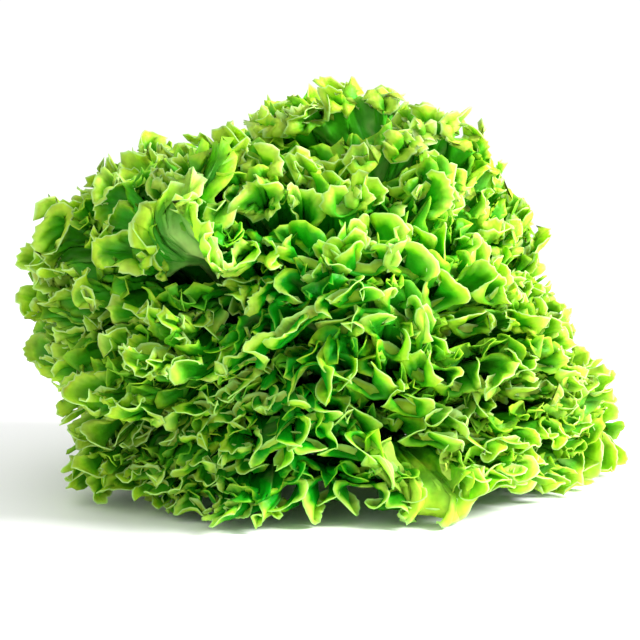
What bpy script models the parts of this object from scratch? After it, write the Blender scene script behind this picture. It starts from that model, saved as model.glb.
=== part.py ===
"""Lollo bionda lettuce: a whole loose head of frilled leaves on a short stem.

Metres, +Z up. The cut base of the stem stands on the floor at the origin, and
the wide side of the head lies along X. Each leaf is one closed blade that grows
from the stem, and no two leaves cross: every leaf keeps to its own share of the
opening angle between the heart (straight up) and the floor.
"""

from math import pi, radians

import bmesh
import bpy
import numpy as np

# Head
FOCUS_HEIGHT = 0.045
HEAD_RADIUS = 0.147
LOW_RADIUS_LOSS = 0.017
TOP_LOSS = 0.008
SIDE_LEAN = 0.031
SIDE_LEAN_EXTRA = 0.009
DEPTH_LOSS = 0.008
LEFT_UNDERCUT = 0.015
CLEFT_DEPTH = 0.026
CLEFT_ANGLE = radians(27)
FOOT_REACH = 0.026
FOOT_AZIMUTH = radians(-140)
FRONT_LIFT = 0.008
FRONT_AZIMUTH = radians(-95)
FRONT_SPREAD = (0.6, 1.0)
FLOOR_SOFTNESS = 0.0025
FLOOR_GAP = 0.0008
SWAYS = ((radians(5.5), 4, 2.0, radians(90)), (radians(1.5), 8, 6.0, 3.0))
SWAY_HEART = (radians(12), radians(40))
SWAY_FLOOR = (radians(90), radians(110))
SWAY_FROM_STEM = 0.3
SWIRLS = ((0.0075, 0.095, 0.0, 0.050, 0.120), (0.0020, 0.040, 2.0, 0.090, 0.140))

# Leaves
GOLDEN_ANGLE = radians(137.508)
START_AZIMUTH = radians(328)
FIRST_OPENING = radians(6)
LAST_OPENING = radians(112)
TURN_SPACING = radians(8.0)
LEAF_WIDTH = 0.196
LEAF_HALF_ANGLE = (radians(41), radians(105))
MARGIN_SWEEP = radians(104)
MARGIN_CORE = 0.80
BLADE_THICK = 0.0009
RIB_THICK = 0.0026
RIB_HALF = 0.0045

# Frills
WAVE_LENGTH = 0.0235
WAVE_HANG = 0.22
FLARE_FROM = 0.30
FLARE_POWER = 1.8
LIP_SHARE = 0.5
LIP_POWER = 18
DROOP = 0.03
LIP_DROOP = 0.06
ROOM_FILL = 0.90
WIDEST_WAVE = radians(6.5)
SIDE_EASE = (radians(2), radians(14))
FLOOR_LIMIT = radians(118)
ROWS = (0.0, 0.30, 0.58, 0.80, 1.0)
MARGIN_CUTS = 5
FOLD_CUTS = 1

# Stem
STEM_RADIUS = 0.0150
STEM_TOP = 0.056
STEM_LOW_ROOT = 0.009
STEM_CLEAR = 0.0024
STEM_SIDES = 20

FLOOR_OPENING = radians(111)

COLOURS = {
    "leaf_heart": ((0.52, 0.66, 0.12, 1.0), 0.45),
    "leaf_middle": ((0.30, 0.56, 0.05, 1.0), 0.45),
    "leaf_outer": ((0.17, 0.44, 0.03, 1.0), 0.45),
    "stem": ((0.72, 0.74, 0.48, 1.0), 0.55),
}


def smooth(value, low, high):
    """Ease from 0 at low to 1 at high."""
    share = np.clip((value - low) / (high - low), 0, 1)
    return share * share * (3 - 2 * share)


def wobble(place, seed):
    """Smooth irregular wave between -1 and 1, the same for the same seed."""
    return (np.sin(1.31 * place + 2.4 * seed) + np.sin(2.17 * place + 4.1 * seed + 1.0)) / 2


def turn_between(angle):
    """Angle brought between -pi and pi."""
    return (angle + pi) % (2 * pi) - pi


def head_reach(opening, azimuth):
    """Distance from the focus of the head to its outside."""
    across = np.cos(azimuth)
    side = np.exp(-(((opening - radians(66) + radians(6) * across) / radians(27)) ** 2))
    left = np.maximum(-across, 0) ** 2
    cleft = np.exp(-(((opening - CLEFT_ANGLE) / radians(9)) ** 2))
    foot = np.exp(-(((opening - radians(108)) / radians(14)) ** 2))
    return (
        HEAD_RADIUS
        - TOP_LOSS * (1 - smooth(opening, radians(10), radians(40)))
        - LOW_RADIUS_LOSS * smooth(opening, radians(30), radians(115))
        - (SIDE_LEAN + SIDE_LEAN_EXTRA * across) * across * side
        - CLEFT_DEPTH * cleft * left
        - LEFT_UNDERCUT * left * smooth(opening, radians(85), radians(105))
        - DEPTH_LOSS * np.sin(azimuth) ** 2 * smooth(opening, radians(20), radians(70))
        + FOOT_REACH * foot * np.maximum(np.cos(azimuth - FOOT_AZIMUTH), 0) ** 5
    )


def sway(reach, opening, azimuth):
    """Opening angle after the rows have swung up and down round the head."""
    free = smooth(opening, *SWAY_HEART) * (1 - smooth(opening, *SWAY_FLOOR))
    free = free * smooth(reach, 0.0, SWAY_FROM_STEM)
    swung = opening
    for size, around, along, seed in SWAYS:
        swung = swung + size * free * np.sin(around * azimuth + along * opening + seed)
    return swung


def root_place(opening):
    """Radius and height on the stem where a leaf of this opening starts."""
    share = opening / FLOOR_OPENING
    radius = STEM_RADIUS * np.clip(0.35 + 1.6 * share, 0.35, 1.0)
    height = STEM_TOP - (STEM_TOP - STEM_LOW_ROOT) * np.clip(share, 0, 1.1)
    return radius, height


def head_point(reach, opening, azimuth):
    """Point on the arched line from the stem (reach 0) to the outside (reach 1)."""
    opening = sway(reach, opening, azimuth)
    root_radius, root_height = root_place(opening)
    outside = head_reach(opening, azimuth)
    tip_radius = outside * np.sin(opening)
    tip_height = FOCUS_HEIGHT + outside * np.cos(opening)
    chord = np.hypot(tip_radius - root_radius, tip_height - root_height)
    bend_radius = root_radius + 0.5 * chord * np.sin(0.62 * opening)
    bend_height = root_height + 0.5 * chord * np.cos(0.62 * opening)
    start, middle, end = (1 - reach) ** 2, 2 * reach * (1 - reach), reach * reach
    radius = start * root_radius + middle * bend_radius + end * tip_radius
    height = start * root_height + middle * bend_height + end * tip_height
    return np.stack([radius * np.cos(azimuth), radius * np.sin(azimuth), height], -1)


def swirl(points):
    """Uneven lie of the whole head: sideways waves that move all leaves together, a lift
    of the low leaves in front, then the lowest leaves flattened onto the floor."""
    x, y, z = points[..., 0], points[..., 1], points[..., 2]
    away = np.sqrt(x * x + y * y + (z - 0.03) ** 2)
    for size, length, seed, low, high in SWIRLS:
        k = 2 * pi / length
        far = smooth(away, low, high)
        x = x + size * far * np.sin(k * z + 0.8 * k * y + 0.4 + seed)
        y = y + size * far * np.sin(k * x - 0.6 * k * z + 1.7 + 2 * seed)
        lift = size * far * smooth(z, -0.005, 0.035)
        z = z + lift * np.sin(k * y + 0.7 * k * x + 2.9 + 3 * seed)
    around = np.hypot(x, y)
    ahead = (x * np.cos(FRONT_AZIMUTH) + y * np.sin(FRONT_AZIMUTH)) / (around + 1e-6)
    front = smooth(ahead, *FRONT_SPREAD)
    z = z + FRONT_LIFT * front * smooth(around, 0.03, 0.11) * (1 - smooth(z, 0.0, 0.07))
    z = FLOOR_GAP + 0.5 * (z + np.sqrt(z * z + FLOOR_SOFTNESS**2))
    return np.stack([x, y, z], -1)


def half_angle(opening):
    """Half of the azimuth that a leaf takes at its widest."""
    span = LEAF_WIDTH / 2 / (0.140 * np.sin(max(opening, radians(8))))
    return float(np.clip(span, *LEAF_HALF_ANGLE))


def leaf_openings():
    """Opening angle of every leaf, from the heart out to the floor."""
    openings = []
    opening = FIRST_OPENING
    while opening < LAST_OPENING + 1e-6:
        openings.append(opening)
        opening += TURN_SPACING * half_angle(opening) / pi
    return np.array(openings)


class Leaf:
    """Form of one leaf: where its blade runs for a place along the margin."""

    def __init__(self, index, openings):
        self.index = index
        self.openings = openings
        self.opening = openings[index]
        self.azimuths = START_AZIMUTH + np.arange(len(openings)) * GOLDEN_ANGLE
        self.azimuth = self.azimuths[index]
        self.halves = np.array([half_angle(opening) for opening in openings])
        self.places = np.linspace(-1, 1, 801)
        offset, reach = self.outline(self.places)
        line = head_point(reach, np.full(801, self.opening), self.azimuth + offset)
        steps = np.linalg.norm(np.diff(line, axis=0), axis=1)
        middle = 0.5 * (self.places[1:] + self.places[:-1])
        facing = smooth(np.cos(middle * MARGIN_SWEEP), -0.1, 0.5)
        self.run = np.concatenate([[0], np.cumsum(steps * (0.45 + 0.55 * facing))])
        self.waves = max(3, round(self.run[-1] / WAVE_LENGTH))

    def outline(self, place):
        """Azimuth offset and reach of the margin, for place -1 to 1 along it."""
        sweep = place * MARGIN_SWEEP
        length = 1.0 + 0.04 * wobble(3.0 * self.index, 5) + 0.02 * wobble(6 * place, self.index)
        reach = (MARGIN_CORE + (1 - MARGIN_CORE) * np.cos(sweep)) * length
        return self.halves[self.index] * np.sin(sweep), reach

    def room(self, azimuth):
        """Half of the free angle towards the heart and away from it."""
        inner = np.full(np.shape(azimuth), radians(11))
        outer = np.full(np.shape(azimuth), radians(11))
        for other in range(len(self.openings)):
            if other == self.index:
                continue
            away = np.abs(turn_between(azimuth - self.azimuths[other]))
            beside = smooth(away - self.halves[other], *SIDE_EASE)
            gap = abs(self.openings[other] - self.opening) + radians(30) * beside
            if other < self.index:
                inner = np.minimum(inner, gap)
            else:
                outer = np.minimum(outer, gap)
        inner = np.minimum(inner, self.opening * 1.2)
        outer = np.minimum(outer, FLOOR_LIMIT - self.opening)
        return 0.5 * inner, 0.5 * outer

    def points(self, wave, height):
        """Blade points for wave 0 to self.waves along the margin and height 0 (stem)
        to 1 (margin)."""
        seed = self.index
        along = np.clip(wave / self.waves, 0, 1)
        along = along + 0.25 / self.waves * wobble(wave * 2.2, seed + 11) * np.sin(pi * along)
        turn = 2 * pi * wave
        crest = np.cos(turn)
        raised = np.maximum(height - FLARE_FROM, 0) / (1 - FLARE_FROM)
        flare = (1 - LIP_SHARE) * raised**FLARE_POWER + LIP_SHARE * raised**LIP_POWER
        near_margin = smooth(height, 0.6, 1.0)
        hang = WAVE_HANG * (0.85 + 0.3 * wobble(wave * 3.1, seed + 7))
        shift = hang * near_margin * np.sin(2 * turn) * self.run[-1] / self.waves
        place = np.interp(along * self.run[-1] + shift, self.run, self.places)
        offset, margin_reach = self.outline(place)
        spread = smooth(height, -0.15, 0.75)
        azimuth = self.azimuth + radians(27) * place * (1 - spread) + offset * spread
        lobe = 0.035 * wobble(wave * 1.7, seed + 5) * near_margin
        droop = (DROOP * flare + LIP_DROOP * raised**LIP_POWER) * crest**2
        reach = margin_reach * (height * (1 + lobe) - droop)
        inner, outer = self.room(azimuth)
        swing = np.minimum(0.5 * (inner + outer) * ROOM_FILL, WIDEST_WAVE)
        swing = swing * (0.82 + 0.18 * wobble(wave * 2.7, seed + 3))
        centre = 0.45 * (outer - inner) * np.minimum(raised, 1) ** 1.5
        opening = self.opening + centre + flare * swing * crest
        return swirl(head_point(reach, opening, azimuth))

    def rib_share(self, wave, height):
        """1 on the midrib, 0 on the thin blade."""
        along = np.clip(wave / self.waves, 0, 1)
        place = np.interp(along * self.run[-1], self.run, self.places)
        middle = self.points(np.full_like(wave, self.waves / 2), np.minimum(height, 0.8))
        here = self.points(wave, np.minimum(height, 0.8))
        away = np.linalg.norm(here - middle, axis=-1)
        taper = 1 - smooth(height, 0.15, 0.95)
        return np.where(np.abs(place) < 0.6, 1 - smooth(away, 0, 2 * RIB_HALF), 0) * taper


def material(name):
    """Plain surface of one of the named colours."""
    colour, roughness = COLOURS[name]
    made = bpy.data.materials.new(name)
    made.use_nodes = True
    shader = made.node_tree.nodes["Principled BSDF"]
    shader.inputs["Base Color"].default_value = colour
    shader.inputs["Roughness"].default_value = roughness
    shader.inputs["Metallic"].default_value = 0.0
    made.diffuse_color = colour
    return made


def flat_blade(leaf):
    """Flat net of the blade: x counts waves along the margin, y the rows from the
    stem out. Each wave has one edge at the stem, two at the fold and six at the margin."""
    net = bmesh.new()
    bmesh.ops.create_grid(net, x_segments=leaf.waves, y_segments=len(ROWS) - 1, size=0.5)
    for vert in net.verts:
        vert.co.x = round((vert.co.x + 0.5) * leaf.waves)
        vert.co.y = round((vert.co.y + 0.5) * (len(ROWS) - 1))
    for row, cuts in ((len(ROWS) - 1, MARGIN_CUTS), (len(ROWS) - 2, FOLD_CUTS)):
        across = [e for e in net.edges if all(round(v.co.y) == row for v in e.verts)]
        bmesh.ops.bisect_edges(net, edges=across, cuts=cuts)
    bmesh.ops.triangulate(net, faces=net.faces[:], quad_method="BEAUTY", ngon_method="BEAUTY")
    return net


def make_leaf(leaf, surface, collection):
    """One leaf: its flat net lifted onto the blade, then thickened."""
    net = flat_blade(leaf)
    flat = np.array([vert.co[:2] for vert in net.verts])
    wave = flat[:, 0]
    height = np.interp(flat[:, 1], range(len(ROWS)), ROWS)
    lifted = leaf.points(wave, height)
    rib = leaf.rib_share(wave, height)
    root = leaf.points(np.array([leaf.waves / 2]), np.array([0.0]))[0]
    for vert, point in zip(net.verts, lifted - root):
        vert.co = point
    bmesh.ops.recalc_face_normals(net, faces=net.faces[:])
    name = f"leaf_{leaf.index + 1:02d}"
    mesh = bpy.data.meshes.new(name)
    net.to_mesh(mesh)
    net.free()
    mesh.shade_smooth()
    mesh.materials.append(surface)
    blade = bpy.data.objects.new(name, mesh)
    collection.objects.link(blade)
    blade.location = root
    group = blade.vertex_groups.new(name="rib")
    for index, share in enumerate(rib):
        group.add([index], float(share), "REPLACE")
    thick = blade.modifiers.new("thickness", "SOLIDIFY")
    thick.thickness = RIB_THICK
    thick.offset = 0
    thick.vertex_group = "rib"
    thick.thickness_vertex_group = BLADE_THICK / RIB_THICK
    return blade


def make_stem(surface, collection):
    """Short stem: a turned profile with a flat cut base and a domed top."""
    profile = [(0.0, 0.0), (STEM_RADIUS - STEM_CLEAR, 0.0)]
    for opening in np.linspace(FLOOR_OPENING, 0, 7):
        radius, height = root_place(opening)
        profile.append((float(radius) - STEM_CLEAR, float(height)))
    profile.append((0.0, STEM_TOP + 0.0015))
    mesh = bpy.data.meshes.new("stem")
    line = bmesh.new()
    verts = [line.verts.new((radius, 0.0, height)) for radius, height in profile]
    for start, end in zip(verts, verts[1:]):
        line.edges.new((start, end))
    line.to_mesh(mesh)
    line.free()
    mesh.materials.append(surface)
    stem = bpy.data.objects.new("stem", mesh)
    collection.objects.link(stem)
    turned = stem.modifiers.new("turned", "SCREW")
    turned.steps = turned.render_steps = STEM_SIDES
    turned.use_merge_vertices = True
    turned.merge_threshold = 0.00005
    turned.use_normal_calculate = True
    turned.use_smooth_shade = True
    return stem


def main():
    for old in list(bpy.data.objects):
        bpy.data.objects.remove(old)
    head = bpy.data.collections.new("lollo_bionda_lettuce")
    bpy.context.scene.collection.children.link(head)
    surfaces = {name: material(name) for name in COLOURS}
    stem = make_stem(surfaces["stem"], head)
    openings = leaf_openings()
    for index, opening in enumerate(openings):
        tone = "leaf_heart" if opening < radians(30) else "leaf_middle"
        tone = "leaf_outer" if opening > radians(75) else tone
        blade = make_leaf(Leaf(index, openings), surfaces[tone], head)
        blade.parent = stem


if __name__ == "__main__":
    main()
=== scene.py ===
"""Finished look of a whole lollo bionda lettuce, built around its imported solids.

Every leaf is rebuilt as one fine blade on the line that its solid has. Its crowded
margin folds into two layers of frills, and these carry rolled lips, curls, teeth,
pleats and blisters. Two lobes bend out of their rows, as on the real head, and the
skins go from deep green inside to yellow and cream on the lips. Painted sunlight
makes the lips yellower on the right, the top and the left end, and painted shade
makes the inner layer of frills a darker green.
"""

import logging
from dataclasses import dataclass
from enum import Enum
from math import cos, pi, radians, sin

import bpy
import numpy as np
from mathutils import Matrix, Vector

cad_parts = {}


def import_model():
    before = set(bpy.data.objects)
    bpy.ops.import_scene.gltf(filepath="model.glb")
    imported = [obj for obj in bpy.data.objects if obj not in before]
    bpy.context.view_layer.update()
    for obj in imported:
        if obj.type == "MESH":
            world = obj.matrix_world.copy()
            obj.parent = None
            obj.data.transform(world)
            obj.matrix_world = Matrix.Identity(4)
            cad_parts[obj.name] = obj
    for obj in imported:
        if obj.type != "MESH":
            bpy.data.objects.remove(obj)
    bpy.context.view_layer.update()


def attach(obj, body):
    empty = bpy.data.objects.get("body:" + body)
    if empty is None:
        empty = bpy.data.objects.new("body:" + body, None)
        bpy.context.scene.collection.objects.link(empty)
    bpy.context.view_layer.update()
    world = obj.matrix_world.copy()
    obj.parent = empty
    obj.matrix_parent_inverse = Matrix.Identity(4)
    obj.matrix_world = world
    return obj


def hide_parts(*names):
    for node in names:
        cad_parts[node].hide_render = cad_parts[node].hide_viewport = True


LOG = logging.getLogger("lettuce")
MM = 0.001
# Openings that part the ages of leaves.
HEART_UNTIL = radians(30)
OUTER_FROM = radians(75)
# How finely curves are measured, and what counts as none.
MARGIN_SAMPLES = 801
ROOM_SAMPLES = 1001
SAMPLES_PER_WAVE = 200
STEP = 1e-3
LEAST_TURN = 0.01
LEAST_SHARE = 0.01
# Values between which soft noise mostly lies.
NOISE_RANGE = (0.32, 0.68)

Values = float | np.ndarray


def smooth(value: Values, low: float, high: float) -> Values:
    """Ease from 0 at low to 1 at high.

    Args:
        value: Number or array to ease.
        low: Where the ease starts.
        high: Where the ease ends.

    Returns:
        The eased share, of the shape of value.
    """
    share = np.clip((value - low) / (high - low), 0, 1)
    return share * share * (3 - 2 * share)


def belt(value: Values, rising: tuple, falling: tuple) -> Values:
    """Ease up over one range and down again over a later one."""
    return smooth(value, *rising) * (1 - smooth(value, *falling))


def bell(away: Values, width: float) -> Values:
    """Fall off on both sides of zero, to about a third at the width."""
    return np.exp(-((away / width) ** 2))


def rise(height: Values, start: float) -> Values:
    """Climb evenly from 0 at a start height to 1 at the margin."""
    return np.maximum(height - start, 0) / (1 - start)


def wobble(place: Values, seed: float) -> Values:
    """Make a smooth irregular wave that is the same for the same seed.

    Args:
        place: Position along the wave.
        seed: Number that picks the wave.

    Returns:
        Values between -1 and 1.
    """
    return (np.sin(1.31 * place + 2.4 * seed) + np.sin(2.17 * place + 4.1 * seed + 1.0)) / 2


def turn_between(angle: Values) -> Values:
    """Bring an angle between -pi and pi."""
    return (angle + pi) % (2 * pi) - pi


class Own(Enum):
    """What differs from leaf to leaf: beats a leaf, seed, middle and swing of each."""

    LENGTH = (3.0, 5, 1.0, 0.04)
    FRIZZ = (5.0, 3, 0.0, 0.2)
    SHADE = (7.0, 1, 1.0, 0.10)

    def of_leaf(self, index: int) -> float:
        """Give the value of one leaf, by its number."""
        beats, seed, middle, swing = self.value
        return middle + swing * wobble(beats * index, seed)


class Drift(Enum):
    """What is uneven along a margin: beats a wave, seed, middle and swing of each."""

    SPACING = (2.2, 11, 0.0, 1.0)
    HANG = (3.1, 7, 0.85, 0.3)
    BIG_FRILL = (2.7, 3, 0.84, 0.16)
    SMALL_FRILL = (5.3, 9, 0.80, 0.30)
    FRILL_COUNT = (4.0, 2, 0.0, 0.22)
    REACH = (1.7, 5, 0.0, 0.035)
    PLEAT = (2.3, 8, 0.0, 0.4)
    CURL_PLACE = (6.0, 4, 0.0, 0.5)
    CURL_SIZE = (4.9, 6, 0.75, 0.35)
    NOTCH = (22.0, 14, 0.0, 1.0)
    TOOTH = (9.7, 13, 0.8, 0.8)

    def along(self, wave: np.ndarray, seed: float) -> np.ndarray:
        """Give the value at each wave number of the margin that has this seed."""
        beats, own_seed, middle, swing = self.value
        return middle + swing * wobble(wave * beats, seed + own_seed)


class LeafAge(Enum):
    """Age of a leaf."""

    HEART = "leaf_heart"
    MIDDLE = "leaf_middle"
    OUTER = "leaf_outer"

    @classmethod
    def of_opening(cls, opening: float) -> "LeafAge":
        """Tell the age of a leaf from how far it has opened.

        Args:
            opening: Angle from straight up, in radians.

        Returns:
            The age.
        """
        if opening < HEART_UNTIL:
            return cls.HEART
        return cls.OUTER if opening > OUTER_FROM else cls.MIDDLE


@dataclass(frozen=True)
class HeadForm:
    """Overall form of the head: where a leaf runs for each opening and azimuth.

    A leaf's opening is its angle from straight up, 0 in the heart. Each of the sways is
    a size, beats round the head, beats along the opening and a start. Each of the swirls
    is a size, a length, a seed, and the distances at which it starts and is full.
    """

    # Outline, as reaches from the focus of the head.
    focus_height: float = 0.045
    radius: float = 0.147
    top_loss: float = 0.008
    top_openings: tuple = (radians(10), radians(40))
    low_loss: float = 0.017
    low_openings: tuple = (radians(30), radians(115))
    side_lean: float = 0.031
    side_lean_extra: float = 0.009
    side_opening: float = radians(66)
    side_tilt: float = radians(6)
    side_width: float = radians(27)
    depth_loss: float = 0.008
    depth_openings: tuple = (radians(20), radians(70))
    left_undercut: float = 0.015
    undercut_openings: tuple = (radians(85), radians(105))
    cleft_depth: float = 0.026
    cleft_opening: float = radians(27)
    cleft_width: float = radians(9)
    foot_reach: float = 0.026
    foot_azimuth: float = radians(-140)
    foot_opening: float = radians(108)
    foot_width: float = radians(14)
    foot_sharpness: int = 5
    # Roots on the stem, and the arch of each leaf.
    stem_radius: float = 0.0150
    stem_taper: tuple = (0.35, 1.6)
    stem_top: float = 0.056
    stem_low_root: float = 0.009
    lowest_root: float = 1.1
    arch_place: float = 0.5
    arch_turn: float = 0.62
    # Lifted front, and the floor.
    front_lift: float = 0.008
    front_azimuth: float = radians(-95)
    front_spread: tuple = (0.6, 1.0)
    front_radii: tuple = (0.03, 0.11)
    front_heights: tuple = (0.0, 0.07)
    floor_opening: float = radians(111)
    floor_softness: float = 0.0025
    floor_gap: float = 0.0008
    # Lie of the rows, and of the whole head.
    sways: tuple = ((radians(5.5), 4, 2.0, radians(90)), (radians(1.5), 8, 6.0, 3.0))
    sway_heart: tuple = (radians(12), radians(40))
    sway_floor: tuple = (radians(90), radians(110))
    sway_from_stem: float = 0.3
    swirls: tuple = ((0.0075, 0.095, 0.0, 0.050, 0.120), (0.0020, 0.040, 2.0, 0.090, 0.140))
    swirl_centre: float = 0.03
    swirl_slants: tuple = (0.8, 0.6, 0.7)
    swirl_starts: tuple = (0.4, 1.7, 2.9)
    swirl_heights: tuple = (-0.005, 0.035)
    # Spiral of the leaves, and their widths.
    first_opening: float = radians(6)
    last_opening: float = radians(112)
    golden_angle: float = radians(137.508)
    start_azimuth: float = radians(328)
    turn_spacing: float = radians(8.0)
    leaf_width: float = 0.196
    width_radius: float = 0.140
    width_opening: float = radians(8)
    half_angles: tuple = (radians(41), radians(105))

    def reach(self, opening: Values, azimuth: Values) -> Values:
        """Measure from the focus of the head to its outside.

        Args:
            opening: Angles from straight up.
            azimuth: Angles round the stem, 0 along +X.

        Returns:
            Distances in metres.
        """
        across = np.cos(azimuth)
        side = bell(opening - self.side_opening + self.side_tilt * across, self.side_width)
        left = np.maximum(-across, 0) ** 2
        cleft = bell(opening - self.cleft_opening, self.cleft_width)
        foot = bell(opening - self.foot_opening, self.foot_width)
        towards_foot = np.maximum(np.cos(azimuth - self.foot_azimuth), 0)
        return (
            self.radius
            - self.top_loss * (1 - smooth(opening, *self.top_openings))
            - self.low_loss * smooth(opening, *self.low_openings)
            - (self.side_lean + self.side_lean_extra * across) * across * side
            - self.cleft_depth * cleft * left
            - self.left_undercut * left * smooth(opening, *self.undercut_openings)
            - self.depth_loss * np.sin(azimuth) ** 2 * smooth(opening, *self.depth_openings)
            + self.foot_reach * foot * towards_foot**self.foot_sharpness
        )

    def sway(self, reach: Values, opening: Values, azimuth: Values) -> Values:
        """Swing the rows of leaves up and down round the head.

        Args:
            reach: Share of the way, 0 at the stem and 1 at the outside.
            opening: Angles from straight up.
            azimuth: Angles round the stem.

        Returns:
            Angles from straight up after the swing.
        """
        free = belt(opening, self.sway_heart, self.sway_floor)
        free = free * smooth(reach, 0.0, self.sway_from_stem)
        swung = opening
        for size, around, along, seed in self.sways:
            swung = swung + size * free * np.sin(around * azimuth + along * opening + seed)
        return swung

    def root(self, opening: Values) -> tuple:
        """Find the radius and height on the stem where a leaf starts.

        Args:
            opening: Angles from straight up.

        Returns:
            Radius and height in metres.
        """
        share = opening / self.floor_opening
        tip, widening = self.stem_taper
        radius = self.stem_radius * np.clip(tip + widening * share, tip, 1.0)
        drop = (self.stem_top - self.stem_low_root) * np.clip(share, 0, self.lowest_root)
        return radius, self.stem_top - drop

    def point(self, reach: Values, opening: Values, azimuth: Values) -> np.ndarray:
        """Place a point on the arched line from the stem to the outside.

        Args:
            reach: Share of the way, 0 at the stem and 1 at the outside.
            opening: Angles from straight up.
            azimuth: Angles round the stem.

        Returns:
            Points, with x, y and z on the last axis.
        """
        opening = self.sway(reach, opening, azimuth)
        root_radius, root_height = self.root(opening)
        outside = self.reach(opening, azimuth)
        tip_radius = outside * np.sin(opening)
        tip_height = self.focus_height + outside * np.cos(opening)
        chord = np.hypot(tip_radius - root_radius, tip_height - root_height)
        bend_radius = root_radius + self.arch_place * chord * np.sin(self.arch_turn * opening)
        bend_height = root_height + self.arch_place * chord * np.cos(self.arch_turn * opening)
        start, middle, end = (1 - reach) ** 2, 2 * reach * (1 - reach), reach * reach
        radius = start * root_radius + middle * bend_radius + end * tip_radius
        height = start * root_height + middle * bend_height + end * tip_height
        return np.stack([radius * np.cos(azimuth), radius * np.sin(azimuth), height], -1)

    def swirl(self, points: np.ndarray) -> np.ndarray:
        """Give the head its uneven lie, then press the low leaves onto the floor.

        Args:
            points: Points of the even head.

        Returns:
            Points of the finished head.
        """
        x, y, z = points[..., 0], points[..., 1], points[..., 2]
        away = np.sqrt(x * x + y * y + (z - self.swirl_centre) ** 2)
        slant_x, slant_y, slant_z = self.swirl_slants
        start_x, start_y, start_z = self.swirl_starts
        for size, length, seed, low, high in self.swirls:
            k = 2 * pi / length
            far = smooth(away, low, high)
            x = x + size * far * np.sin(k * z + slant_x * k * y + start_x + seed)
            y = y + size * far * np.sin(k * x - slant_y * k * z + start_y + 2 * seed)
            lift = size * far * smooth(z, *self.swirl_heights)
            z = z + lift * np.sin(k * y + slant_z * k * x + start_z + 3 * seed)
        around = np.hypot(x, y)
        ahead = (x * cos(self.front_azimuth) + y * sin(self.front_azimuth)) / (around + 1e-6)
        front = smooth(ahead, *self.front_spread) * self.front_lift
        low = 1 - smooth(z, *self.front_heights)
        return self.on_floor(np.stack([x, y, z + front * smooth(around, *self.front_radii) * low], -1))

    def on_floor(self, points: np.ndarray) -> np.ndarray:
        """Press points that would sink below the floor flat onto it.

        Args:
            points: Points of the head.

        Returns:
            The points, none below the floor.
        """
        x, y, z = points[..., 0], points[..., 1], points[..., 2]
        z = self.floor_gap + 0.5 * (z + np.sqrt(z * z + self.floor_softness**2))
        return np.stack([x, y, z], -1)

    def half_angle(self, opening: float) -> float:
        """Give half of the azimuth that a leaf takes at its widest.

        Args:
            opening: Angle from straight up.

        Returns:
            Half angle in radians.
        """
        span = self.leaf_width / 2 / (self.width_radius * sin(max(opening, self.width_opening)))
        return float(np.clip(span, *self.half_angles))

    def openings(self) -> np.ndarray:
        """List the opening of every leaf, from the heart out to the floor."""
        found = []
        opening = self.first_opening
        while opening < self.last_opening + 1e-6:
            found.append(opening)
            opening += self.turn_spacing * self.half_angle(opening) / pi
        return np.array(found)


class Fold(Enum):
    """The two layers that a crowded margin folds into, away from the heart and towards it."""

    OUTER = 1
    INNER = -1


@dataclass(frozen=True)
class FoldForm:
    """How one layer of a margin waves.

    lean is a share of the room on its side. fill and widest limit its swing. slow and
    quick give the big and the small frills, where the margin is calm and where it is
    frizzy. recess is a share of the reach. hang and quick_hang make frills overhang.
    roll is how far the lip rolls over. The inset offset that follows it is painted shade, in units of inset:
    it colours the recessed inner layer a deeper green, standing in for the shade in the pockets under the
    lips.
    """

    lean: float
    fill: float
    widest: float
    slow: tuple
    quick: tuple
    recess: float
    hang: float
    quick_hang: float
    roll: float
    pocket_shade_inset: float
    seed: float
    curl_seed: float


FOLDS = {
    Fold.OUTER: FoldForm(
        lean=0.30, fill=0.70, widest=radians(9.0), slow=(1.0, 0.42), quick=(0.20, 0.34),
        recess=0.0, hang=0.22, quick_hang=0.16, roll=radians(125), pocket_shade_inset=0.0,
        seed=0.0, curl_seed=0.0,
    ),
    Fold.INNER: FoldForm(
        lean=0.80, fill=0.34, widest=radians(4.5), slow=(0.45, 0.35), quick=(0.75, 0.60),
        recess=0.055, hang=0.12, quick_hang=0.20, roll=radians(110), pocket_shade_inset=0.09,
        seed=31.7, curl_seed=17.3,
    ),
}


@dataclass(frozen=True)
class Lobe:
    """A part of one leaf that bends out of its row: down from the heart or back up to it.

    leaf counts from 0 in the heart. sides are how far the lobe is whole and where it
    ends, round the stem. It bends from the start height on, over the length and by the
    turn. calm, squeeze and pale are shares: fewer frills, a narrower foot, a paler skin.
    """

    leaf: int
    azimuth: float
    sides: tuple
    start: float
    length: float
    turn: float
    calm: float
    squeeze: float = 0.0
    pale: float = 0.0
    ribbed: bool = False
    shortening: float = 0.75
    narrow_from: float = 0.5
    narrow_power: float = 1.5

    def share(self, azimuth: np.ndarray) -> np.ndarray:
        """Tell how much of each azimuth belongs to the lobe."""
        return 1 - smooth(np.abs(turn_between(azimuth - self.azimuth)), *self.sides)

    def bend(self, points: np.ndarray, height: np.ndarray, azimuth: np.ndarray,
             opening: float) -> np.ndarray:
        """Bend the lobe out of its row.

        Args:
            points: Points before the bend.
            height: Their heights on the blade.
            azimuth: Their angles round the stem.
            opening: Opening of the leaf.

        Returns:
            Points after the bend.
        """
        share = self.share(azimuth)
        turn = np.where(share > LEAST_SHARE, self.turn * share, LEAST_TURN)
        length = self.length * share
        bent = np.clip((height - self.start) / (1 - self.start), 0, 1)
        ahead = length * (np.sin(turn * bent) / turn - self.shortening * bent)
        aside = length * (1 - np.cos(turn * bent)) / turn
        narrow = self.squeeze * share * smooth(height, self.narrow_from, self.start)
        narrow = narrow * (1 - bent) ** self.narrow_power
        across = -narrow * np.hypot(points[..., 0], points[..., 1])
        across = across * turn_between(azimuth - self.azimuth)
        level = ahead * sin(opening) + aside * cos(opening)
        lift = ahead * cos(opening) - aside * sin(opening)
        east, north = np.cos(azimuth), np.sin(azimuth)
        return points + np.stack([level * east - across * north, level * north + across * east, lift], -1)


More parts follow.
